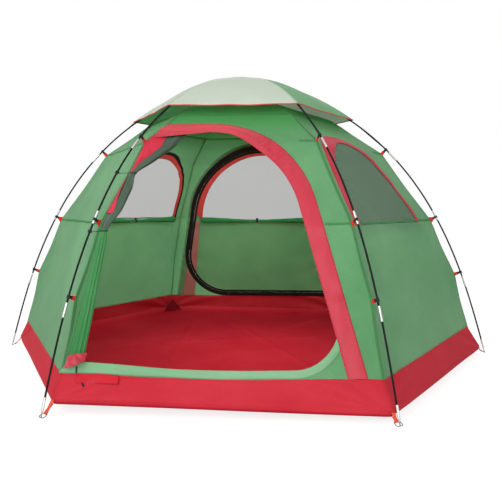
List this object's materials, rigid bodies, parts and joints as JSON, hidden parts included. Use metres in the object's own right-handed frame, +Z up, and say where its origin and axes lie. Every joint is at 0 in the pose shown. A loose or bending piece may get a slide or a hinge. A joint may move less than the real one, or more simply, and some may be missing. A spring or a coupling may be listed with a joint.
{
  "type": "dome tent",
  "caption": "Six-sided dome tent on three crossing poles, green walls over a red tray floor, rolled-back front door with a red band, rear door, net windows and a rain cap",
  "frame": {"origin": "on the ground, under the peak, at the middle of the floor", "axes": "+Z up, +X toward the right-hand corner leg seen from the open front door, -Y out through the front door"},
  "size_m": [3.1196, 2.714, 1.7407],
  "materials": {
    "green_cloth": "coated woven polyester, soft sheen",
    "rolled_cloth": "coated woven polyester, darker in folds",
    "red_cloth": "coated groundsheet cloth, slight shine",
    "red_band": "coated woven polyester",
    "net": "fine insect net",
    "black_rod": "wrapped glass-fibre rod with metal sleeves",
    "clip_plastic": "moulded nylon",
    "steel": "plated wire",
    "cap_cloth": "coated woven polyester, pale in the light",
    "elastic": "covered shock cord"
  },
  "bodies": {
    "tent": {"floor_tray": "red_cloth", "front_panel": "green_cloth", "front_right_panel": "green_cloth", "back_right_panel": "green_cloth", "back_panel": "green_cloth", "back_left_panel": "green_cloth", "front_left_panel": "green_cloth", "front_door_roll": "rolled_cloth", "front_right_window_flap": "rolled_cloth", "back_left_window_flap": "rolled_cloth", "front_door_band": "red_band", "rear_door_band": "red_band", "front_right_window_trim": "red_band", "back_left_window_trim": "red_band", "front_right_window_net": "net", "back_left_window_net": "net", "roof_vent": "net", "pole_right_left": "black_rod", "pole_front_left": "black_rod", "pole_front_right": "black_rod", "front_zip": "clip_plastic", "rear_zip": "clip_plastic", "clip_right_1": "clip_plastic", "clip_right_2": "clip_plastic", "clip_right_3": "clip_plastic", "clip_back_right_1": "clip_plastic", "clip_back_right_2": "clip_plastic", "clip_back_right_3": "clip_plastic", "clip_back_left_1": "clip_plastic", "clip_back_left_2": "clip_plastic", "clip_back_left_3": "clip_plastic", "clip_left_1": "clip_plastic", "clip_left_2": "clip_plastic", "clip_left_3": "clip_plastic", "clip_front_left_1": "clip_plastic", "clip_front_left_2": "clip_plastic", "clip_front_left_3": "clip_plastic", "clip_front_right_1": "clip_plastic", "clip_front_right_2": "clip_plastic", "clip_front_right_3": "clip_plastic", "foot_pin_right": "steel", "foot_pin_back_right": "steel", "foot_pin_back_left": "steel", "foot_pin_left": "steel", "foot_pin_front_left": "steel", "foot_pin_front_right": "steel"},
    "rear_door": {"rear_door": "rolled_cloth", "rear_door_net": "net", "rear_door_flap": "rolled_cloth"},
    "rain_cap": {"rain_cap": "cap_cloth", "cap_tie_right": "elastic", "cap_tie_back_right": "elastic", "cap_tie_back_left": "elastic", "cap_tie_left": "elastic", "cap_tie_front_left": "elastic", "cap_tie_front_right": "elastic"},
    "front_slider": {"front_slider": "clip_plastic"},
    "front_puller": {"front_slider_puller": "clip_plastic"},
    "rear_slider": {"rear_slider": "clip_plastic"},
    "rear_puller": {"rear_slider_puller": "clip_plastic"}
  },
  "joints": [
    {"name": "rear_door_hinge", "type": "hinge", "parent": "tent", "child": "rear_door", "pos_m": [0.70669, 1.24524, 0.2], "axis": [0.1713, 0.2967, -0.9395], "range_deg": [0, 85]},
    {"name": "rain_cap_lift", "type": "slide", "parent": "tent", "child": "rain_cap", "axis": [0, 0, 1], "range_m": [0, 0.25]},
    {"name": "front_zip_slide", "type": "slide", "parent": "tent", "child": "front_slider", "axis": [1, 0, 0], "range_m": [0, 0.85]},
    {"name": "front_puller_swing", "type": "hinge", "parent": "front_slider", "child": "front_puller", "pos_m": [-0.65, -1.24901, 0.21121], "axis": [-1, 0, 0], "range_deg": [0, 110]},
    {"name": "rear_zip_slide", "type": "slide", "parent": "tent", "child": "rear_slider", "axis": [1, 0, 0], "range_m": [0, 0.8]},
    {"name": "rear_puller_swing", "type": "hinge", "parent": "rear_slider", "child": "rear_puller", "pos_m": [-0.22, 1.23381, 0.2064], "axis": [-1, 0, 0], "range_deg": [-10, 110]}
  ]
}
